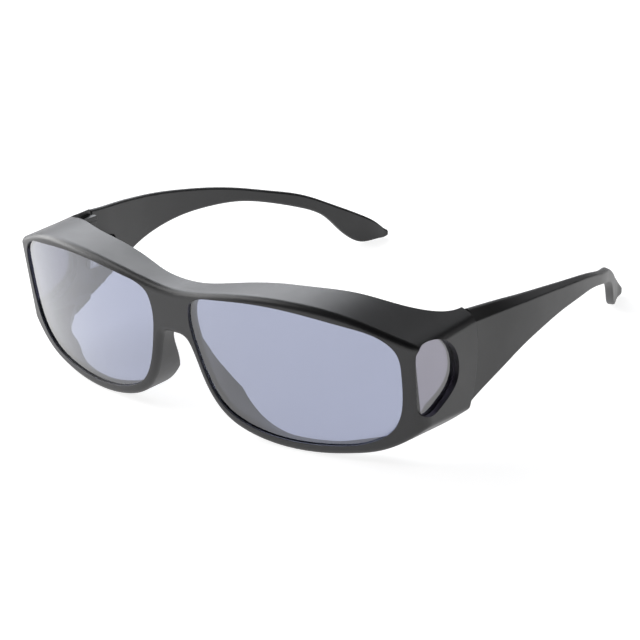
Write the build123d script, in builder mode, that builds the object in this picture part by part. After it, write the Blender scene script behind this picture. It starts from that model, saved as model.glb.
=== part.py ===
"""Fitover sunglasses: a wear-over frame with two main lenses, two side windows and two folding temples.

X runs across the face (+X is the wearer's left), the lenses face -Y, the temples run towards +Y and
+Z is up. The glasses stand open on a flat surface: the rims and the temple tips touch the plane
Z = 0. Lengths are in millimetres. While the pieces are built, Y = 0 is the middle of the face at
the tilt height. At the end everything moves so that the origin is the middle of the footprint.
"""
from build123d import *
from math import asin, cos, degrees, hypot, radians, sin, tan
import os

os.makedirs("parts", exist_ok=True)

# Front, seen from above
half_width = 71.2            # outer face of a side shield from the middle plane
bridge_flat = 12.0           # half of the flat stretch over the nose
face_wrap = 29.56            # degrees, each half of the face turns back this far
face_tilt = 10.2             # degrees, the top of the face leans forward
tilt_height = 20.0           # height at which the middle of the face lies at Y = 0
corner_radius = 5.0          # where the face turns into a side shield
inner_corner_radius = 1.5

# Front, seen from the front
bridge_under = 27.3
brow_top = 44.6              # crease under the brow shelf at its highest
brow_rise = 3.3              # the shelf would stand this much higher at the seam plane
shield_top = 36.9            # ridge between the shelf and a side shield

# Walls of the front
face_wall = 4.8              # rim depth, front to back
shelf_wall = 2.4             # brow shelf, nose flanges and lower walls
shield_wall = 3.9
crease_radius = 1.8          # outer edge of the front

# How far back the walls reach
shelf_middle_back = 5.8
shelf_brow_back = 11.4
flange_back = 13.0           # nose flanges
flange_reach = 25.6          # they end within this distance of the middle plane
seam_bar = 8.9               # from the window back to the seam at mid height
seam_bow = 3.0               # the seam's ends lie this far in front of its middle
seam_gap = 0.7
split_height = 32.5          # above it the shelf's rear edge rules, below it the flanges'

# Main lens and its opening
opening_inner = 6.5
bar_width = 4.5              # from the opening out to the shield
opening_low = 2.5
brow_bar = 1.7               # from the opening up to the brow crease
lens_recess = 0.6
lens_thickness = 1.8
lens_bite = 0.7              # how far the lens reaches into its groove
lens_fit = 0.05

# Side window and its opening
window_lead = 2.35           # the window starts this far in front of the face's end
window_length = 18.8
window_low = 14.5
window_bar = 1.1             # from the window up to the shield's ridge
window_recess = 1.5
window_thickness = 1.4
window_bite = 0.7
window_skin = 0.6            # plastic left between a side lens and the rounded corner

# Temple
temple_length = 121.6        # behind the seam
temple_root_thickness = 3.4
temple_root_high = 38.6
temple_root_low = 12.1
temple_edge = 0.7
bevel_height_share = 0.13    # of the temple's height
bevel_width_share = 0.60     # of the temple's thickness

# Hinge
hinge_middle = 23.6          # height of the middle of the hinge
knuckle_count = 5
knuckle_height = 1.0
knuckle_gap = 0.06
barrel_radius = 1.5
relief_gap = 0.3             # free space round the barrel
pin_radius = 0.7
pin_fit = 0.02
pin_running_fit = 0.05
pin_head_radius = 1.25
pin_head_height = 0.7
pin_tail = 0.4
leaf_thickness = 1.2
front_leaf_length = 5.0
temple_leaf_length = 6.0
block_thickness = 6.4        # shield and its inner hinge block together
block_lead = 15.0            # the block starts this far in front of the window's rear end
block_ramp = 9.0
boss_length = 6.6
boss_ramp = 4.0
boss_margin = 1.0            # block and boss reach this far above and below the leaves
leaf_screw_radius = 0.5
leaf_screw_head_radius = 0.95
leaf_screw_head_height = 0.6
leaf_screw_depth = 2.2       # grip in the plastic
leaf_screw_fit = 0.02
slot_width = 0.35
slot_depth = 0.3

# Values that follow from these
overrun = 10.0
face_radius = (half_width - bridge_flat) / sin(radians(face_wrap))
face_depth = face_radius * (1 - cos(radians(face_wrap)))
brow_back_top = brow_top + brow_rise
opening_outer = half_width - bar_width
opening_high = brow_top - brow_bar
window_front = face_depth - window_lead
window_back = window_front + window_length
window_high = shield_top - window_bar
seam_back = window_back + seam_bar
temple_back = seam_back + temple_length
slope = tan(radians(face_tilt))
tilt_dir = (0, -sin(radians(face_tilt)), cos(radians(face_tilt)))
front_y = -slope * (brow_top - tilt_height)
hinge_x = half_width - block_thickness
hinge_y = seam_back
hinge_height = knuckle_count * knuckle_height + (knuckle_count - 1) * knuckle_gap
hinge_low = hinge_middle - hinge_height / 2
hinge_high = hinge_low + hinge_height
sides = (("left", 1), ("right", -1))


def beside(points, distance):
    """Points that lie the distance to the left of a row of points, square to its run."""
    moved = []
    for i, (x, y) in enumerate(points):
        x0, y0 = points[max(i - 1, 0)]
        x1, y1 = points[min(i + 1, len(points) - 1)]
        run = hypot(x1 - x0, y1 - y0)
        moved.append((x - distance * (y1 - y0) / run, y + distance * (x1 - x0) / run))
    return moved


def both_halves(points):
    """A row of points from the middle plane outwards, with its mirror image before it."""
    return [(-x, z) for x, z in reversed(points) if x > 0] + points


def scaled(shares, low, high):
    """Points given as shares of the box between two corners."""
    return [(low[0] + x * (high[0] - low[0]), low[1] + y * (high[1] - low[1])) for x, y in shares]


def side_plane(side, x):
    """A plane at X on one side, with Y to its right and Z up, facing outwards."""
    return Plane((side * x, 0, 0), x_dir=(0, side, 0), z_dir=(side, 0, 0))


def drum(depth, side_depth, corner):
    """The space behind the face and between the shields, lying inside them by the two depths."""
    wall_x = half_width - side_depth
    radius = face_radius - depth
    turn = degrees(asin((wall_x - bridge_flat) / radius))
    back = seam_back + overrun
    low = -overrun
    start = (0, slope * (tilt_height - low), low)
    with BuildPart() as body:
        with BuildSketch(Plane(start, x_dir=(1, 0, 0), z_dir=(0, 0, 1))) as plan:
            with BuildLine():
                Line((0, depth), (bridge_flat, depth))
                bend = CenterArc((bridge_flat, face_radius), radius, -90, turn)
                wall = Line(bend @ 1, (wall_x, back))
                Line(wall @ 1, (0, back))
                mirror(about=Plane.YZ)
            make_face()
            fillet(plan.vertices().group_by(Axis.Y)[-2], corner)
        extrude(amount=brow_top + 3 * overrun, dir=tilt_dir)
    return body.part


# Outline of the front, along the top and along the bottom, at the face and at the seam plane. The
# heights of the top rows are shares between the shield's ridge and the row's highest point.
top_x_shares = (0.0, 0.17, 0.42, 0.60, 0.78, 0.90, 0.944, 0.966, 0.986, 1.0, 1.014)
face_top_shares = (0.53, 0.76, 1.0, 0.92, 0.56, 0.08, -0.065, -0.14, -0.27, -0.58, -1.0)
seam_top_shares = (0.30, 0.38, 0.88, 1.0, 0.76, 0.39, 0.19, 0.114, 0.027, -0.155, -0.40)
lower_x_shares = (
    0.0, 0.05, 0.072, 0.1, 0.139, 0.21, 0.33, 0.52, 0.64, 0.70, 0.767, 0.829, 0.885, 0.933, 0.97,
    1.0, 1.04,
)
face_low_shares = (
    1.0, 0.98, 0.89, 0.655, 0.40, 0.18, 0.043, -0.012, 0.010, 0.034, 0.078, 0.146, 0.239, 0.339,
    0.428, 0.505, 0.608,
)
seam_low_shares = (
    1.0, 0.98, 0.89, 0.655, 0.40, 0.18, 0.043, -0.012, 0.010, 0.034, 0.048, 0.072, 0.122, 0.193,
    0.267, 0.345, 0.450,
)


def outline_row(x_shares, z_shares, low, high):
    """Points across one half of the front, with heights between two levels."""
    return [(half_width * x, low + (high - low) * z) for x, z in zip(x_shares, z_shares)]


top_rows = (
    outline_row(top_x_shares, face_top_shares, shield_top, brow_top),
    outline_row(top_x_shares, seam_top_shares, shield_top, brow_back_top),
)
lower_rows = (
    outline_row(lower_x_shares, face_low_shares, 0, bridge_under),
    outline_row(lower_x_shares, seam_low_shares, 0, bridge_under),
)


def hull(wall):
    """The body between the outline at the face and the one at the seam, lying inside it by wall."""
    with BuildPart() as body:
        for y, top, low in zip((front_y - overrun, seam_back + overrun), top_rows, lower_rows):
            with BuildSketch(Plane.XZ.offset(-y)):
                with BuildLine():
                    upper = Spline(*beside(both_halves(top), -wall))
                    under = Spline(*beside(both_halves(low), wall))
                    Line(upper @ 1, under @ 1)
                    Line(upper @ 0, under @ 0)
                make_face()
        loft(ruled=True)
    return body.part


def rear_cutter(row, low, high):
    """Everything behind a row of points seen from above, between two heights."""
    back = seam_back + 2 * overrun
    with BuildPart() as cutter:
        with BuildSketch(Plane.XY.offset(low)):
            with BuildLine():
                edge = Spline(*both_halves(row))
                Polyline(edge @ 1, ((edge @ 1).X, back), ((edge @ 0).X, back), edge @ 0)
            make_face()
        extrude(amount=high - low)
    return cutter.part


def flange_cutter():
    """Everything behind the sloping upper edge of the nose flanges, below the brow shelf."""
    with BuildPart() as cutter:
        with BuildSketch(Plane.YZ):
            with BuildLine():
                edge = Spline(*flange_top_row)
                Polyline(edge @ 1, (seam_back, (edge @ 1).Y), (seam_back, (edge @ 0).Y), edge @ 0)
            make_face()
        extrude(amount=flange_reach, both=True)
    return cutter.part


def seam_cutter(side, y_shift):
    """Everything behind the seam, moved back by y_shift."""
    back = seam_back + 2 * overrun + temple_back
    low, high = -overrun, brow_back_top + overrun
    middle = (temple_root_low + temple_root_high) / 2
    reach = (temple_root_high - temple_root_low) / 2
    bow = seam_bow * ((high - middle) / reach) ** 2
    with BuildPart() as cutter:
        with BuildSketch(Plane.YZ):
            with BuildLine():
                arc = ThreePointArc(
                    (seam_back - bow + y_shift, 2 * middle - high),
                    (seam_back + y_shift, middle),
                    (seam_back - bow + y_shift, high),
                )
                Polyline(arc @ 1, (back, high), (back, 2 * middle - high), arc @ 0)
            make_face()
        extrude(amount=side * 2 * half_width)
    return cutter.part


shelf_row = [
    (0, shelf_middle_back), (0.12 * half_width, 1.05 * shelf_middle_back),
    (0.23 * half_width, 0.69 * shelf_brow_back), (0.40 * half_width, 0.84 * shelf_brow_back),
    (0.53 * half_width, shelf_brow_back), (0.68 * half_width, 0.40 * seam_back),
    (0.79 * half_width, 0.50 * seam_back), (0.88 * half_width, 0.64 * seam_back),
    (0.928 * half_width, 0.79 * seam_back), (half_width - shield_wall, 0.96 * seam_back),
]
flange_row = [
    (0, 0.37 * flange_back), (0.065 * half_width, 0.62 * flange_back),
    (0.105 * half_width, 0.90 * flange_back), (0.17 * half_width, flange_back),
    (0.235 * half_width, 0.97 * flange_back), (0.33 * half_width, 0.86 * flange_back),
    (0.45 * half_width, 0.81 * flange_back), (0.58 * half_width, 0.94 * flange_back),
    (0.70 * half_width, 1.25 * flange_back), (0.793 * half_width, 0.51 * seam_back),
    (0.84 * half_width, 0.545 * seam_back), (0.885 * half_width, 0.61 * seam_back),
    (0.921 * half_width, 0.69 * seam_back), (half_width - shield_wall, 0.77 * seam_back),
]
shield_low_row = [
    (0.48 * seam_back, -overrun / 2), (0.51 * seam_back, -0.06 * temple_root_low),
    (0.61 * seam_back, 0.31 * temple_root_low), (0.78 * seam_back, 0.59 * temple_root_low),
    (0.97 * seam_back, 0.93 * temple_root_low), (1.2 * seam_back, 1.3 * temple_root_low),
]
flange_top_row = [
    (0.25 * flange_back, 0.86 * brow_top), (0.33 * flange_back, 0.95 * bridge_under),
    (0.46 * flange_back, 0.81 * bridge_under), (0.70 * flange_back, 0.62 * bridge_under),
    (0.94 * flange_back, 0.43 * bridge_under), (1.15 * flange_back, 0.26 * bridge_under),
]
opening_shares = (
    (0.012, 0.861), (0.0, 0.755), (0.018, 0.556), (0.058, 0.342), (0.135, 0.149), (0.257, 0.050),
    (0.465, 0.0), (0.681, 0.020), (0.847, 0.084), (0.952, 0.213), (0.993, 0.407), (1.0, 0.605),
    (0.982, 0.792), (0.930, 0.871), (0.789, 0.940), (0.556, 0.995), (0.341, 0.998), (0.141, 0.960),
    (0.051, 0.923),
)
window_shares = (
    (0.0, 0.870), (0.021, 0.667), (0.069, 0.377), (0.101, 0.179), (0.154, 0.058), (0.25, 0.010),
    (0.41, 0.0), (0.59, 0.053), (0.814, 0.155), (0.973, 0.30), (1.0, 0.512), (0.941, 0.667),
    (0.809, 0.821), (0.628, 0.932), (0.404, 0.990), (0.186, 1.0), (0.048, 0.961),
)
opening_points = scaled(opening_shares, (opening_inner, opening_low), (opening_outer, opening_high))
window_points = scaled(window_shares, (window_front, window_low), (window_back, window_high))


def spread_loop(points, distance):
    """Closed points, listed anticlockwise, shifted outwards by distance."""
    shifted = []
    for k, (u, v) in enumerate(points):
        after = points[(k + 1) % len(points)]
        du, dv = after[0] - points[k - 1][0], after[1] - points[k - 1][1]
        shifted.append((u + distance * dv / hypot(du, dv), v - distance * du / hypot(du, dv)))
    return shifted


def opening_prism(side, spread, start, end):
    """The outline of a main lens opening, spread outwards, from one Y to another."""
    with BuildPart() as prism:
        with BuildSketch(Plane.XZ.offset(-start)):
            with BuildLine():
                Spline(*[(side * x, z) for x, z in spread_loop(opening_points, spread)], periodic=True)
            make_face()
        extrude(amount=start - end)
    return prism.part


def window_prism(side, spread, inner, outer):
    """The outline of a side window, spread outwards, from one distance off the middle to another."""
    with BuildPart() as prism:
        with BuildSketch(side_plane(side, inner)):
            with BuildLine():
                Spline(*[(side * y, z) for y, z in spread_loop(window_points, spread)], periodic=True)
            make_face()
        extrude(amount=outer - inner)
    return prism.part


def lens_body(side, slack):
    """A main lens, or with slack the groove that it sits in."""
    slab = drum(lens_recess - slack, -overrun, corner_radius)
    slab -= drum(lens_recess + lens_thickness + slack, -2 * overrun, corner_radius)
    return slab & opening_prism(side, lens_bite + slack, front_y - overrun, seam_back)


def window_body(side, slack):
    """A side lens, or with slack the groove that it sits in, kept inside the rounded corner."""
    outer = half_width - window_recess
    plate = window_prism(side, window_bite + slack, outer - window_thickness - slack, outer + slack)
    skin = window_skin - slack
    return plate & drum(skin, skin, corner_radius - skin) & hull(skin)


def block_at(side, x_range, y_range, z_range):
    """A box between two X, two Y and two Z on one side."""
    (x0, x1), (y0, y1), (z0, z1) = x_range, y_range, z_range
    with BuildPart() as box:
        with BuildSketch(Plane.XY.offset(z0)):
            with BuildLine():
                Polyline((side * x0, y0), (side * x1, y0), (side * x1, y1), (side * x0, y1), close=True)
            make_face()
        extrude(amount=z1 - z0)
    return box.part


def pin_cylinder(side, radius, low, high):
    """A cylinder on the hinge pin of one side between two heights."""
    return Pos(side * hinge_x, hinge_y, (low + high) / 2) * Cylinder(radius, high - low)


def knuckles(first):
    """Heights of every second knuckle, counted from the lowest or the one above it."""
    pitch = knuckle_height + knuckle_gap
    return [
        (hinge_low + k * pitch, hinge_low + k * pitch + knuckle_height)
        for k in range(first, knuckle_count, 2)
    ]


def leaf_screw_places(direction, length):
    """Y and Z of the two screws of a leaf."""
    y = hinge_y + direction * (barrel_radius + relief_gap + length) / 2
    middle = (hinge_low + hinge_high) / 2
    return [(y, middle - hinge_height / 4), (y, middle + hinge_height / 4)]


def along_x(side, y, z, radius, x0, x1):
    """A cylinder along X between two distances off the middle plane."""
    return Pos(side * (x0 + x1) / 2, y, z) * Rot(0, 90, 0) * Cylinder(radius, x1 - x0)


def leaf_screw(side, y, z, slack):
    """A leaf's fixing screw, or with slack the hole that it sits in."""
    head_end = hinge_x + leaf_screw_head_height
    shank_end = hinge_x + leaf_thickness + leaf_screw_depth
    head = along_x(side, y, z, leaf_screw_head_radius + slack, hinge_x, head_end + slack)
    return head + along_x(side, y, z, leaf_screw_radius + slack, hinge_x, shank_end + slack)


def hinge_leaf(side, direction, length, first, bore):
    """One leaf of a hinge: a plate let into the plastic and its knuckles round the pin."""
    start = hinge_y + direction * (barrel_radius + relief_gap)
    end = hinge_y + direction * length
    plate_x = (hinge_x, hinge_x + leaf_thickness)
    leaf = block_at(side, plate_x, sorted((start, end)), (hinge_low, hinge_high))
    for low, high in knuckles(first):
        leaf += block_at(side, plate_x, sorted((hinge_y, start)), (low, high))
        leaf += pin_cylinder(side, barrel_radius, low, high)
    leaf -= pin_cylinder(side, bore, hinge_low, hinge_high)
    for y, z in leaf_screw_places(direction, length):
        leaf -= leaf_screw(side, y, z, leaf_screw_fit)
    return leaf


def hinge_room(side, direction, length):
    """What a hinge leaf, its screws and the turning barrel take out of the plastic."""
    start = hinge_y
    end = hinge_y + direction * (length + lens_fit)
    room = block_at(
        side, (hinge_x, hinge_x + leaf_thickness + lens_fit), sorted((start, end)),
        (hinge_low - lens_fit, hinge_high + lens_fit),
    )
    room += pin_cylinder(
        side, barrel_radius + relief_gap,
        hinge_low - pin_tail - relief_gap, hinge_high + pin_head_height + relief_gap,
    )
    for y, z in leaf_screw_places(direction, length):
        room += leaf_screw(side, y, z, leaf_screw_fit)
    return room


def hinge_block(side):
    """The wedge inside a shield that grows from the window back to the seam and carries the leaf."""
    inner = half_width - shield_wall + lens_fit
    start = window_back - block_lead
    with BuildPart() as block:
        with BuildSketch(Plane.XY.offset(window_low - boss_margin)):
            with BuildLine():
                Polyline(
                    (side * inner, start), (side * hinge_x, start + block_ramp),
                    (side * hinge_x, seam_back + overrun), (side * inner, seam_back + overrun),
                    close=True,
                )
            make_face()
        extrude(amount=window_high - window_low + 2 * boss_margin)
    return block.part & hull(shelf_wall / 2)


# Temple stations: X of the middle of its thickness, distance behind the seam, lower and upper edge,
# thickness.
temple_shares = (
    (0.968, -0.0577, 0.235, 0.995, 1.00), (0.969, -0.0082, 0.300, 0.980, 1.00),
    (0.974, 0.0412, 0.362, 0.964, 0.98), (0.985, 0.1068, 0.446, 0.946, 0.94),
    (0.993, 0.1723, 0.524, 0.923, 0.88), (0.995, 0.2552, 0.586, 0.891, 0.82),
    (0.985, 0.3541, 0.622, 0.841, 0.78), (0.965, 0.4518, 0.620, 0.784, 0.76),
    (0.932, 0.5507, 0.591, 0.711, 0.75), (0.886, 0.6497, 0.512, 0.622, 0.75),
    (0.827, 0.7326, 0.423, 0.545, 0.75), (0.791, 0.7807, 0.355, 0.479, 0.75),
    (0.767, 0.8141, 0.278, 0.424, 0.75), (0.742, 0.8476, 0.160, 0.368, 0.75),
    (0.716, 0.8797, 0.060, 0.314, 0.75), (0.691, 0.9131, 0.004, 0.255, 0.75),
    (0.667, 0.9452, 0.000, 0.192, 0.75), (0.653, 0.9746, 0.000, 0.118, 0.75),
    (0.641, 0.9973, 0.010, 0.062, 0.75),
)


def temple_section(across, thickness, low, high):
    """A section of a temple: round edges, and a soft bevel along the outer top."""
    outer = thickness / 2
    shoulder = high - bevel_height_share * (high - low)
    top = outer - bevel_width_share * thickness
    corners = [(-outer, low), (outer, low), (outer, shoulder), (top, high), (-outer, high)]
    with BuildSketch(across) as section:
        with BuildLine():
            FilletPolyline(*corners, radius=temple_edge, close=True)
        make_face()
    return section.sketch


def temple_body(side):
    """One temple without its hinge boss, joined through its sections."""
    root = temple_root_high
    stations = [
        (x * half_width, seam_back + y * temple_length, low * root, high * root, thick)
        for x, y, low, high, thick in temple_shares
    ]
    sections = []
    for k, (x, y, low, high, thick) in enumerate(stations):
        before, after = stations[max(k - 1, 0)], stations[min(k + 1, len(stations) - 1)]
        run_x, run_y = after[0] - before[0], after[1] - before[1]
        across = Plane((x, y, 0), x_dir=(run_y, -run_x, 0), z_dir=(-run_x, -run_y, 0))
        sections.append(temple_section(across, thick * temple_root_thickness, low, high))
    body = loft(sections)
    return body if side > 0 else body.mirror(Plane.YZ)


def temple_boss(side):
    """The thick inner end of a temple that carries its hinge leaf."""
    start, ramp = hinge_y - overrun, hinge_y + boss_length
    with BuildPart() as boss:
        with BuildSketch(Plane.XY.offset(hinge_low - boss_margin)):
            with BuildLine():
                Polyline(
                    (side * hinge_x, start), (side * hinge_x, ramp),
                    (side * temple_shares[3][0] * half_width, ramp + boss_ramp),
                    (side * temple_shares[0][0] * half_width, start), close=True,
                )
            make_face()
        extrude(amount=hinge_height + 2 * boss_margin)
    return boss.part


def temple(side):
    """One temple with its boss and the room for its hinge leaf."""
    body = (temple_body(side) + temple_boss(side)) & seam_cutter(side, seam_gap)
    return body - hinge_room(side, 1, temple_leaf_length)


def front():
    """The front moulding: rims, brow shelf, nose flanges and side shields."""
    blank = drum(0, 0, corner_radius) & hull(0)
    cutters = [
        drum(face_wall, shield_wall, inner_corner_radius) & hull(shelf_wall),
        rear_cutter(shelf_row, split_height, brow_back_top + overrun),
        rear_cutter(flange_row, -overrun, split_height),
        flange_cutter(),
    ]
    blocks = [hinge_block(side) for name, side in sides]
    rooms = []
    for name, side in sides:
        rooms += [
            seam_cutter(side, 0),
            opening_prism(side, 0, front_y - overrun, seam_back),
            lens_body(side, lens_fit),
            window_prism(side, 0, hinge_x - overrun, half_width + overrun),
            window_body(side, lens_fit),
            hinge_room(side, -1, front_leaf_length),
        ]
    with BuildPart() as body:
        add(blank)
        rounded = [
            edge for edge in body.edges().filter_by(GeomType.LINE, reverse=True)
            if edge.center().Y < seam_back + overrun / 2
        ]
        fillet(rounded, crease_radius)
        for cutter in cutters:
            add(cutter, mode=Mode.SUBTRACT)
        with BuildSketch(Plane.YZ):
            with BuildLine():
                low_edge = Spline(*shield_low_row)
                Polyline(low_edge @ 1, ((low_edge @ 1).X, -overrun / 2), low_edge @ 0)
            make_face()
        extrude(amount=2 * half_width, both=True, mode=Mode.SUBTRACT)
        for block in blocks:
            add(block)
        for room in rooms:
            add(room, mode=Mode.SUBTRACT)
    return body.part


def pivot_screw(side):
    """The screw that a temple turns on, with a slotted head."""
    shank = pin_cylinder(side, pin_radius, hinge_low - pin_tail, hinge_high)
    head = pin_cylinder(side, pin_head_radius, hinge_high, hinge_high + pin_head_height)
    slot = block_at(
        side, (hinge_x - slot_width / 2, hinge_x + slot_width / 2),
        (hinge_y - 2 * pin_head_radius, hinge_y + 2 * pin_head_radius),
        (hinge_high + pin_head_height - slot_depth, hinge_high + 2 * pin_head_height),
    )
    return shank + head - slot


def leaf_screws(side, direction, length):
    """The two fixing screws of a leaf."""
    return [leaf_screw(side, y, z, 0) for y, z in leaf_screw_places(direction, length)]


front_body = front()
temple_bodies = [temple(side) for name, side in sides]
front_box = front_body.bounding_box()
temple_box = temple_bodies[0].bounding_box()
placed = Pos(
    0, -(front_box.min.Y + temple_box.max.Y) / 2, -min(front_box.min.Z, temple_box.min.Z),
)

solid = placed * front_body
with BuildPart() as front_frame:
    add(solid)
front_frame.part.label = "front_frame"
export_step(front_frame.part, "parts/front_frame.step")

solid = placed * temple_bodies[0]
with BuildPart() as temple_left:
    add(solid)
temple_left.part.label = "temple_left"
export_step(temple_left.part, "parts/temple_left.step")

solid = placed * temple_bodies[1]
with BuildPart() as temple_right:
    add(solid)
temple_right.part.label = "temple_right"
export_step(temple_right.part, "parts/temple_right.step")

solid = placed * lens_body(1, 0)
with BuildPart() as lens_left:
    add(solid)
lens_left.part.label = "lens_left"
export_step(lens_left.part, "parts/lens_left.step")

solid = placed * lens_body(-1, 0)
with BuildPart() as lens_right:
    add(solid)
lens_right.part.label = "lens_right"
export_step(lens_right.part, "parts/lens_right.step")

solid = placed * window_body(1, 0)
with BuildPart() as side_lens_left:
    add(solid)
side_lens_left.part.label = "side_lens_left"
export_step(side_lens_left.part, "parts/side_lens_left.step")

solid = placed * window_body(-1, 0)
with BuildPart() as side_lens_right:
    add(solid)
side_lens_right.part.label = "side_lens_right"
export_step(side_lens_right.part, "parts/side_lens_right.step")

solid = placed * hinge_leaf(1, -1, front_leaf_length, 0, pin_radius + pin_fit)
with BuildPart() as hinge_front_leaf_left:
    add(solid)
hinge_front_leaf_left.part.label = "hinge_front_leaf_left"
export_step(hinge_front_leaf_left.part, "parts/hinge_front_leaf_left.step")

solid = placed * hinge_leaf(-1, -1, front_leaf_length, 0, pin_radius + pin_fit)
with BuildPart() as hinge_front_leaf_right:
    add(solid)
hinge_front_leaf_right.part.label = "hinge_front_leaf_right"
export_step(hinge_front_leaf_right.part, "parts/hinge_front_leaf_right.step")

solid = placed * hinge_leaf(1, 1, temple_leaf_length, 1, pin_radius + pin_running_fit)
with BuildPart() as hinge_temple_leaf_left:
    add(solid)
hinge_temple_leaf_left.part.label = "hinge_temple_leaf_left"
export_step(hinge_temple_leaf_left.part, "parts/hinge_temple_leaf_left.step")

solid = placed * hinge_leaf(-1, 1, temple_leaf_length, 1, pin_radius + pin_running_fit)
with BuildPart() as hinge_temple_leaf_right:
    add(solid)
hinge_temple_leaf_right.part.label = "hinge_temple_leaf_right"
export_step(hinge_temple_leaf_right.part, "parts/hinge_temple_leaf_right.step")

solid = placed * pivot_screw(1)
with BuildPart() as hinge_screw_left:
    add(solid)
hinge_screw_left.part.label = "hinge_screw_left"
export_step(hinge_screw_left.part, "parts/hinge_screw_left.step")

solid = placed * pivot_screw(-1)
with BuildPart() as hinge_screw_right:
    add(solid)
hinge_screw_right.part.label = "hinge_screw_right"
export_step(hinge_screw_right.part, "parts/hinge_screw_right.step")

screws = [placed * screw for screw in leaf_screws(1, -1, front_leaf_length)]
with BuildPart() as hinge_front_screws_left:
    add(screws)
hinge_front_screws_left.part.label = "hinge_front_screws_left"
export_step(hinge_front_screws_left.part, "parts/hinge_front_screws_left.step")

screws = [placed * screw for screw in leaf_screws(-1, -1, front_leaf_length)]
with BuildPart() as hinge_front_screws_right:
    add(screws)
hinge_front_screws_right.part.label = "hinge_front_screws_right"
export_step(hinge_front_screws_right.part, "parts/hinge_front_screws_right.step")

screws = [placed * screw for screw in leaf_screws(1, 1, temple_leaf_length)]
with BuildPart() as hinge_temple_screws_left:
    add(screws)
hinge_temple_screws_left.part.label = "hinge_temple_screws_left"
export_step(hinge_temple_screws_left.part, "parts/hinge_temple_screws_left.step")

screws = [placed * screw for screw in leaf_screws(-1, 1, temple_leaf_length)]
with BuildPart() as hinge_temple_screws_right:
    add(screws)
hinge_temple_screws_right.part.label = "hinge_temple_screws_right"
export_step(hinge_temple_screws_right.part, "parts/hinge_temple_screws_right.step")
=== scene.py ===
"""Looks, light and camera for a pair of fitover sunglasses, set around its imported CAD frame."""

import logging
import math
from dataclasses import dataclass, field
from enum import Enum

import bpy
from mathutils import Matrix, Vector

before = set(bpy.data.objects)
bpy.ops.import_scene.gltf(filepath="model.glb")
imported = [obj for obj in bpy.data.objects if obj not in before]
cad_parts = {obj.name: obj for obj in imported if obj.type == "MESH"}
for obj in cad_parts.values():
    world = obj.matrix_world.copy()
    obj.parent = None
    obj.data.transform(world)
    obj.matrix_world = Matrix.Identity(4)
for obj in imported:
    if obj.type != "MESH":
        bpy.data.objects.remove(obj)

LOG = logging.getLogger("fitover_sunglasses")
MM = 0.001
Colour = tuple[float, float, float]
Place = tuple[float, float, float]
Rgba = tuple[float, float, float, float]
GroupParts = tuple[bpy.types.NodeTree, bpy.types.Node, bpy.types.Node]
WHITE: Colour = (1.0, 1.0, 1.0)


class Side(Enum):
    """The wearer's two sides, as the CAD nodes write them."""

    LEFT = "left"
    RIGHT = "right"


class Ray(Enum):
    """The kinds of ray that can see a white studio instead of what lights the object."""

    CAMERA = "Is Camera Ray"
    GLOSSY = "Is Glossy Ray"
    TRANSMISSION = "Is Transmission Ray"


# Shader node helpers


def opaque(colour: Colour, gain: float = 1.0) -> Rgba:
    """Writes a colour as a shader socket takes it.

    Args:
        colour: Red, green and blue.
        gain: How much brighter it gets.

    Returns:
        The colour with a full alpha.
    """
    return (*(gain * value for value in colour), 1.0)


def new_material(name: str) -> tuple[bpy.types.Material, bpy.types.NodeTree, bpy.types.Node]:
    """Makes an empty node material.

    Args:
        name: The material's name.

    Returns:
        The material, its node tree and its output node.
    """
    material = bpy.data.materials.new(name)
    material.use_nodes = True
    tree = material.node_tree
    tree.nodes.clear()
    return material, tree, tree.nodes.new("ShaderNodeOutputMaterial")


def add_node(tree: bpy.types.NodeTree, kind: str, **values: object) -> bpy.types.Node:
    """Adds a node and sets its inputs or properties by name.

    Args:
        tree: The node tree that gets the node.
        kind: The node's type name.
        **values: Input sockets by name, with underscores for spaces, or node properties.

    Returns:
        The new node.
    """
    node = tree.nodes.new(kind)
    for key, value in values.items():
        socket = node.inputs.get(key.replace("_", " "))
        if socket is not None:
            socket.default_value = value
        else:
            setattr(node, key, value)
    return node


def math_node(tree: bpy.types.NodeTree, operation: str, *inputs: object) -> bpy.types.NodeSocket:
    """Adds a math node fed by sockets or numbers.

    Args:
        tree: The node tree that gets the node.
        operation: The math operation.
        *inputs: A socket to link or a number to set, for each input in turn.

    Returns:
        The node's output socket.
    """
    node = add_node(tree, "ShaderNodeMath", operation=operation)
    for k, value in enumerate(inputs):
        if isinstance(value, bpy.types.NodeSocket):
            tree.links.new(value, node.inputs[k])
        else:
            node.inputs[k].default_value = value
    return node.outputs[0]


def sees_studio(tree: bpy.types.NodeTree, *rays: Ray) -> bpy.types.NodeSocket:
    """Picks out the rays that see the white studio.

    Args:
        tree: The node tree that gets the nodes.
        *rays: The kinds of ray that see it.

    Returns:
        A value of 1 for each of those rays, and 0 for the rest.
    """
    path = tree.nodes.new("ShaderNodeLightPath")
    first, *others = rays
    seen = path.outputs[first.value]
    for ray in others:
        seen = math_node(tree, "MAXIMUM", seen, path.outputs[ray.value])
    return seen


def tone_colour(
    tree: bpy.types.NodeTree,
    tone: bpy.types.NodeSocket,
    low: Rgba,
    high: Rgba,
    target: bpy.types.NodeSocket,
) -> None:
    """Varies a colour slowly over a surface.

    Args:
        tree: The material's node tree.
        tone: The mask that leads from one colour to the other.
        low: The colour where the mask is 0.
        high: The colour where the mask is 1.
        target: The colour socket that gets the result.
    """
    tint = add_node(tree, "ShaderNodeMix", data_type="RGBA")
    tint.inputs["A"].default_value = low
    tint.inputs["B"].default_value = high
    tree.links.new(tone, tint.inputs["Factor"])
    tree.links.new(tint.outputs["Result"], target)


# Shared surface effects, each a node group built once


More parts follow.
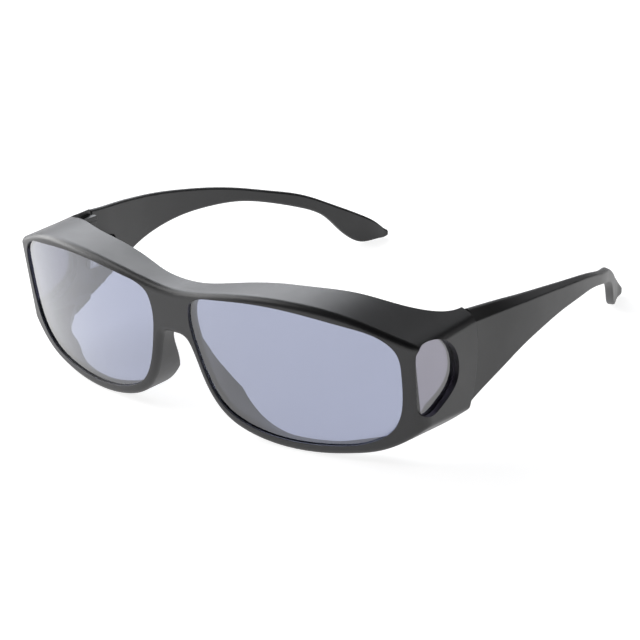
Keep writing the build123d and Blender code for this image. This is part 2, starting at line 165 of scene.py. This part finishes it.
@dataclass
class SurfaceEffects:
    """The node groups for soft edges, moulded grain and fingermarks, which the finishes share."""

    edge_samples: int = 6
    edge_gain: float = 6.0
    grain_detail: float = 3.0
    patch_detail: float = 2.0
    grain_noise: float = 0.55
    smear_detail: float = 4.0
    smear_noise: float = 0.6
    smear_swirl: float = 0.6
    smear_start: float = 0.5
    smear_full: float = 0.8
    soft_edges: bpy.types.NodeTree = field(init=False)
    moulded_grain: bpy.types.NodeTree = field(init=False)
    fingermarks: bpy.types.NodeTree = field(init=False)

    def __post_init__(self) -> None:
        """Builds the three groups."""
        self.soft_edges = self.build_soft_edges()
        self.moulded_grain = self.build_moulded_grain()
        self.fingermarks = self.build_fingermarks()

    @staticmethod
    def new_group(name: str, inputs: tuple[str, ...], outputs: dict[str, str]) -> GroupParts:
        """Starts a shader node group with named sockets.

        Args:
            name: The group's name.
            inputs: The names of its float inputs, which each material sets.
            outputs: Outputs with their socket types.

        Returns:
            The group, its input node and its output node.
        """
        group = bpy.data.node_groups.new(name, "ShaderNodeTree")
        for key in inputs:
            group.interface.new_socket(key, in_out="INPUT", socket_type="NodeSocketFloat")
        for key, kind in outputs.items():
            group.interface.new_socket(key, in_out="OUTPUT", socket_type=kind)
        return group, group.nodes.new("NodeGroupInput"), group.nodes.new("NodeGroupOutput")

    @staticmethod
    def spread_noise(
        group: bpy.types.NodeTree, size: bpy.types.NodeSocket, **values: float
    ) -> bpy.types.NodeSocket:
        """Adds a noise over the piece's own coordinates.

        Args:
            group: The group that gets the noise.
            size: The size of its spots.
            **values: The noise node's other inputs.

        Returns:
            The noise's value.
        """
        place = group.nodes.new("ShaderNodeTexCoord")
        noise = add_node(group, "ShaderNodeTexNoise", **values)
        group.links.new(place.outputs["Object"], noise.inputs["Vector"])
        group.links.new(math_node(group, "DIVIDE", 1.0, size), noise.inputs["Scale"])
        return noise.outputs["Fac"]

    def build_soft_edges(self) -> bpy.types.NodeTree:
        """Rounds the shading over sharp edges.

        Returns:
            A group that gives the rounded normal, and a mask of where the edges are.
        """
        group, start, end = self.new_group(
            "soft_edges", ("Radius",), {"Normal": "NodeSocketVector", "Edge": "NodeSocketFloat"}
        )
        bevel = add_node(group, "ShaderNodeBevel", samples=self.edge_samples)
        group.links.new(start.outputs["Radius"], bevel.inputs["Radius"])
        surface = group.nodes.new("ShaderNodeNewGeometry")
        dot = add_node(group, "ShaderNodeVectorMath", operation="DOT_PRODUCT")
        group.links.new(bevel.outputs["Normal"], dot.inputs[0])
        group.links.new(surface.outputs["Normal"], dot.inputs[1])
        turned = math_node(group, "SUBTRACT", 1.0, dot.outputs["Value"])
        mask = math_node(group, "MINIMUM", math_node(group, "MULTIPLY", turned, self.edge_gain), 1.0)
        group.links.new(bevel.outputs["Normal"], end.inputs["Normal"])
        group.links.new(mask, end.inputs["Edge"])
        return group

    def build_moulded_grain(self) -> bpy.types.NodeTree:
        """Makes the fine spark-eroded grain of a matt mould.

        Returns:
            A group that gives the grain's height, and a slow tone.
        """
        group, start, end = self.new_group(
            "moulded_grain",
            ("Grain Size", "Patch Size"),
            {"Height": "NodeSocketFloat", "Tone": "NodeSocketFloat"},
        )
        layers = (
            ("Grain Size", self.grain_detail, "Height"),
            ("Patch Size", self.patch_detail, "Tone"),
        )
        for size, detail, target in layers:
            value = self.spread_noise(
                group, start.outputs[size], Detail=detail, Roughness=self.grain_noise
            )
            group.links.new(value, end.inputs[target])
        return group

    def build_fingermarks(self) -> bpy.types.NodeTree:
        """Makes the faint smears that hands leave.

        Returns:
            A group that gives a mask of the smears.
        """
        group, start, end = self.new_group("fingermarks", ("Size",), {"Mask": "NodeSocketFloat"})
        value = self.spread_noise(
            group, start.outputs["Size"],
            Detail=self.smear_detail, Roughness=self.smear_noise, Distortion=self.smear_swirl,
        )
        spread = add_node(
            group, "ShaderNodeMapRange", From_Min=self.smear_start, From_Max=self.smear_full
        )
        group.links.new(value, spread.inputs["Value"])
        group.links.new(spread.outputs["Result"], end.inputs["Mask"])
        return group


def place_group(tree: bpy.types.NodeTree, group: bpy.types.NodeTree, **values: float) -> bpy.types.Node:
    """Places a shared group in a material.

    Args:
        tree: The material's node tree.
        group: The shared group.
        **values: Its inputs by name, with underscores for spaces.

    Returns:
        The group node.
    """
    node = tree.nodes.new("ShaderNodeGroup")
    node.node_tree = group
    for key, value in values.items():
        node.inputs[key.replace("_", " ")].default_value = value
    return node


# Finishes


@dataclass(frozen=True)
class MattePlastic:
    """Black moulded plastic with a fine matt grain, polished a little along its edges."""

    name: str
    colour: Colour = (0.0075, 0.0072, 0.0082)
    roughness: float = 0.43
    edge_roughness: float = 0.33
    specular: float = 0.7
    edge_radius: float = 0.14 * MM
    grain_size: float = 0.16 * MM
    grain_depth: float = 0.004 * MM
    grain_strength: float = 0.6
    patch_size: float = 14 * MM
    patch_gain: float = 1.7
    patch_roughness: float = 0.10
    smear_size: float = 9 * MM
    smear_polish: float = 0.035

    def build(self, effects: SurfaceEffects) -> bpy.types.Material:
        """Makes the material.

        Args:
            effects: The shared node groups.

        Returns:
            The material.
        """
        material, tree, output = new_material(self.name)
        shader = add_node(tree, "ShaderNodeBsdfPrincipled", Specular_IOR_Level=self.specular)
        edges = place_group(tree, effects.soft_edges, Radius=self.edge_radius)
        grain = place_group(
            tree, effects.moulded_grain, Grain_Size=self.grain_size, Patch_Size=self.patch_size
        )
        marks = place_group(tree, effects.fingermarks, Size=self.smear_size)
        tone_colour(
            tree, grain.outputs["Tone"],
            opaque(self.colour), opaque(self.colour, self.patch_gain), shader.inputs["Base Color"],
        )
        worn = math_node(tree, "MULTIPLY", edges.outputs["Edge"], self.edge_roughness - self.roughness)
        smoothest = self.roughness - self.patch_roughness / 2
        rough = math_node(tree, "MULTIPLY_ADD", grain.outputs["Tone"], self.patch_roughness, smoothest)
        smeared = math_node(tree, "MULTIPLY_ADD", marks.outputs["Mask"], -self.smear_polish, rough)
        tree.links.new(math_node(tree, "ADD", smeared, worn), shader.inputs["Roughness"])
        bump = add_node(
            tree, "ShaderNodeBump", Strength=self.grain_strength, Distance=self.grain_depth
        )
        tree.links.new(grain.outputs["Height"], bump.inputs["Height"])
        tree.links.new(edges.outputs["Normal"], bump.inputs["Normal"])
        tree.links.new(bump.outputs["Normal"], shader.inputs["Normal"])
        tree.links.new(shader.outputs["BSDF"], output.inputs["Surface"])
        return material


@dataclass(frozen=True)
class TintedLens:
    """A polished, hard-coated plastic lens that tints the light it lets through."""

    name: str
    colour: Colour = (0.285, 0.310, 0.425)
    shade_colour: Colour = (0.38, 0.40, 0.50)
    refraction: float = 1.49
    roughness: float = 0.0
    hard_coat: float = 1.0
    coat_refraction: float = 1.6
    smear_size: float = 16 * MM
    smear_roughness: float = 0.012

    def build(self, effects: SurfaceEffects) -> bpy.types.Material:
        """Makes the material.

        Args:
            effects: The shared node groups.

        Returns:
            The material.
        """
        material, tree, output = new_material(self.name)
        shader = add_node(
            tree, "ShaderNodeBsdfPrincipled",
            Transmission_Weight=1.0, IOR=self.refraction, Base_Color=opaque(self.colour),
            Coat_Weight=self.hard_coat, Coat_IOR=self.coat_refraction,
        )
        marks = place_group(tree, effects.fingermarks, Size=self.smear_size)
        smear = math_node(
            tree, "MULTIPLY_ADD", marks.outputs["Mask"], self.smear_roughness, self.roughness
        )
        tree.links.new(smear, shader.inputs["Roughness"])
        clear = add_node(tree, "ShaderNodeBsdfTransparent", Color=opaque(self.shade_colour))
        path = tree.nodes.new("ShaderNodeLightPath")
        mix = tree.nodes.new("ShaderNodeMixShader")
        tree.links.new(path.outputs["Is Shadow Ray"], mix.inputs["Fac"])
        tree.links.new(shader.outputs["BSDF"], mix.inputs[1])
        tree.links.new(clear.outputs["BSDF"], mix.inputs[2])
        tree.links.new(mix.outputs["Shader"], output.inputs["Surface"])
        return material


@dataclass(frozen=True)
class TurnedSteel:
    """Plated steel of the hinges and their screws, with a faint satin grain."""

    name: str
    colour: Colour = (0.56, 0.56, 0.57)
    roughness: float = 0.30
    edge_radius: float = 0.08 * MM
    grain_size: float = 0.05 * MM
    grain_roughness: float = 0.16
    patch_size: float = 1.5 * MM
    patch_gain: float = 0.8

    def build(self, effects: SurfaceEffects) -> bpy.types.Material:
        """Makes the material.

        Args:
            effects: The shared node groups.

        Returns:
            The material.
        """
        material, tree, output = new_material(self.name)
        shader = add_node(tree, "ShaderNodeBsdfPrincipled", Metallic=1.0)
        edges = place_group(tree, effects.soft_edges, Radius=self.edge_radius)
        grain = place_group(
            tree, effects.moulded_grain, Grain_Size=self.grain_size, Patch_Size=self.patch_size
        )
        tone_colour(
            tree, grain.outputs["Tone"],
            opaque(self.colour, self.patch_gain), opaque(self.colour), shader.inputs["Base Color"],
        )
        smoothest = self.roughness - self.grain_roughness / 2
        rough = math_node(
            tree, "MULTIPLY_ADD", grain.outputs["Height"], self.grain_roughness, smoothest
        )
        tree.links.new(rough, shader.inputs["Roughness"])
        tree.links.new(edges.outputs["Normal"], shader.inputs["Normal"])
        tree.links.new(shader.outputs["BSDF"], output.inputs["Surface"])
        return material


@dataclass(frozen=True)
class StudioWhite:
    """The white floor under the object: white to the eye, glass and gloss, plain paint to the lamps."""

    name: str = "studio_white"
    glow: float = 0.86
    paint: float = 0.5

    def build(self) -> bpy.types.Material:
        """Makes the material, which keeps the object's shadow.

        Returns:
            The material.
        """
        material, tree, output = new_material(self.name)
        paint = add_node(tree, "ShaderNodeBsdfDiffuse", Color=opaque(WHITE, self.paint))
        glow = add_node(tree, "ShaderNodeEmission", Color=opaque(WHITE))
        seen = sees_studio(tree, Ray.CAMERA, Ray.GLOSSY, Ray.TRANSMISSION)
        tree.links.new(math_node(tree, "MULTIPLY", seen, self.glow), glow.inputs["Strength"])
        both = tree.nodes.new("ShaderNodeAddShader")
        tree.links.new(paint.outputs["BSDF"], both.inputs[0])
        tree.links.new(glow.outputs["Emission"], both.inputs[1])
        tree.links.new(both.outputs["Shader"], output.inputs["Surface"])
        return material


# Sub-assemblies


def dress(names: list[str], material: bpy.types.Material) -> None:
    """Gives CAD nodes a finish and reports them.

    Args:
        names: The CAD nodes.
        material: The finish for all of their material slots.
    """
    for name in names:
        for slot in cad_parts[name].material_slots:
            slot.material = material
        LOG.info("%s wears %s", name, material.name)


@dataclass
class FrontFrame:
    """The front moulding with its two main lenses and two side windows."""

    plastic: MattePlastic = field(default_factory=lambda: MattePlastic("front_plastic"))
    main_lens: TintedLens = field(default_factory=lambda: TintedLens("main_lens_grey"))
    side_lens: TintedLens = field(
        default_factory=lambda: TintedLens(
            "side_lens_grey", colour=(0.144, 0.135, 0.185), shade_colour=(0.28, 0.27, 0.32)
        )
    )

    def build(self, effects: SurfaceEffects) -> None:
        """Dresses the moulding and its lenses.

        Args:
            effects: The shared node groups.
        """
        dress(["front_frame"], self.plastic.build(effects))
        dress([f"lens_{side.value}" for side in Side], self.main_lens.build(effects))
        dress([f"side_lens_{side.value}" for side in Side], self.side_lens.build(effects))


@dataclass
class Temples:
    """The two folding temples."""

    plastic: MattePlastic = field(default_factory=lambda: MattePlastic("temple_plastic"))

    def build(self, effects: SurfaceEffects) -> None:
        """Dresses the temples.

        Args:
            effects: The shared node groups.
        """
        dress([f"temple_{side.value}" for side in Side], self.plastic.build(effects))


@dataclass
class Hinges:
    """Leaves, pivot screws and leaf screws of both hinges."""

    leaf: TurnedSteel = field(default_factory=lambda: TurnedSteel("hinge_steel"))
    screw: TurnedSteel = field(
        default_factory=lambda: TurnedSteel("screw_steel", colour=(0.62, 0.62, 0.62), roughness=0.22)
    )

    def build(self, effects: SurfaceEffects) -> None:
        """Dresses the hinges.

        Args:
            effects: The shared node groups.
        """
        steel, bright = self.leaf.build(effects), self.screw.build(effects)
        for side in Side:
            dress([f"hinge_{part}_leaf_{side.value}" for part in ("front", "temple")], steel)
            dress([f"hinge_screw_{side.value}"], bright)
            dress([f"hinge_{part}_screws_{side.value}" for part in ("front", "temple")], bright)


# Studio


@dataclass(frozen=True)
class Softbox:
    """A rectangular soft lamp aimed at the object."""

    name: str
    place: Place
    width: float
    height: float
    power: float
    colour: Colour = WHITE

    def build(self, target: Vector) -> None:
        """Adds the lamp.

        Args:
            target: The point that it faces.
        """
        lamp = bpy.data.lights.new(self.name, "AREA")
        lamp.shape = "RECTANGLE"
        lamp.size = self.width
        lamp.size_y = self.height
        lamp.energy = self.power
        lamp.color = self.colour
        body = bpy.data.objects.new(self.name, lamp)
        body.location = self.place
        body.rotation_euler = (target - Vector(self.place)).to_track_quat("-Z", "Y").to_euler()
        bpy.context.scene.collection.objects.link(body)


@dataclass
class Studio:
    """The white floor, the soft lamps, the surroundings and the camera that matches the photograph."""

    floor_size: float = 6.0
    floor_drop: float = 0.1 * MM
    surroundings: float = 0.03
    azimuth: float = 37.20
    elevation: float = 21.56
    distance: float = 653.2 * MM
    aim: Place = (0.0, -14.6 * MM, 10.74 * MM)
    focal_pixels: float = 2198.6
    frame_pixels: float = 640.0
    sensor_width: float = 36.0
    lamp_aim: Place = (0.0, 0.0, 20 * MM)
    lamps: tuple[Softbox, ...] = (
        Softbox(
            "back_left_softbox", place=(-1.05, 0.68, 0.70), width=1.5, height=0.8, power=15.0,
            colour=(0.94, 0.96, 1.0),
        ),
        Softbox(
            "back_softbox", place=(0.12, 1.10, 0.75), width=1.1, height=0.7, power=2.0,
            colour=(0.96, 0.97, 1.0),
        ),
        Softbox("left_softbox", place=(-1.3, -0.30, 0.30), width=1.2, height=0.6, power=14.0),
        Softbox("front_softbox", place=(-0.80, -0.50, 1.00), width=0.9, height=0.7, power=6.0),
    )

    def build(self) -> None:
        """Adds the floor, lamps, surroundings and camera, and the plain view transform."""
        self.build_floor()
        for lamp in self.lamps:
            lamp.build(Vector(self.lamp_aim))
        self.build_world()
        self.build_camera()
        bpy.context.scene.view_settings.view_transform = "Standard"

    def build_floor(self) -> None:
        """Adds the floor just under the object."""
        bpy.ops.object.select_all(action="DESELECT")
        bpy.ops.mesh.primitive_plane_add(size=self.floor_size, location=(0.0, 0.0, -self.floor_drop))
        floor = bpy.context.active_object
        floor.name = "studio_floor"
        floor.data.materials.append(StudioWhite().build())

    def build_world(self) -> None:
        """Makes the surroundings white to the eye and dim to the object."""
        world = bpy.data.worlds.new("studio_surroundings")
        world.use_nodes = True
        tree = world.node_tree
        tree.nodes.clear()
        output = tree.nodes.new("ShaderNodeOutputWorld")
        seen = sees_studio(tree, Ray.CAMERA, Ray.TRANSMISSION)
        strength = math_node(tree, "MULTIPLY_ADD", seen, 1.0 - self.surroundings, self.surroundings)
        sky = add_node(tree, "ShaderNodeBackground", Color=opaque(WHITE))
        tree.links.new(strength, sky.inputs["Strength"])
        tree.links.new(sky.outputs["Background"], output.inputs["Surface"])
        bpy.context.scene.world = world

    def build_camera(self) -> None:
        """Places the camera at the photograph's angle and distance."""
        turn, rise = math.radians(self.azimuth), math.radians(self.elevation)
        aim = Vector(self.aim)
        away = Vector(
            (math.sin(turn) * math.cos(rise), -math.cos(turn) * math.cos(rise), math.sin(rise))
        )
        data = bpy.data.cameras.new("photo_camera")
        data.sensor_width = self.sensor_width
        data.lens = self.focal_pixels / self.frame_pixels * self.sensor_width
        camera = bpy.data.objects.new("photo_camera", data)
        camera.location = aim + self.distance * away
        camera.rotation_euler = (-away).to_track_quat("-Z", "Y").to_euler()
        bpy.context.scene.collection.objects.link(camera)
        bpy.context.scene.camera = camera


def main() -> None:
    """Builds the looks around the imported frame."""
    logging.basicConfig(level=logging.INFO, format="%(message)s")
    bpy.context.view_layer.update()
    effects = SurfaceEffects()
    for assembly in (FrontFrame(), Temples(), Hinges()):
        assembly.build(effects)
    Studio().build()


if __name__ == "__main__":
    main()
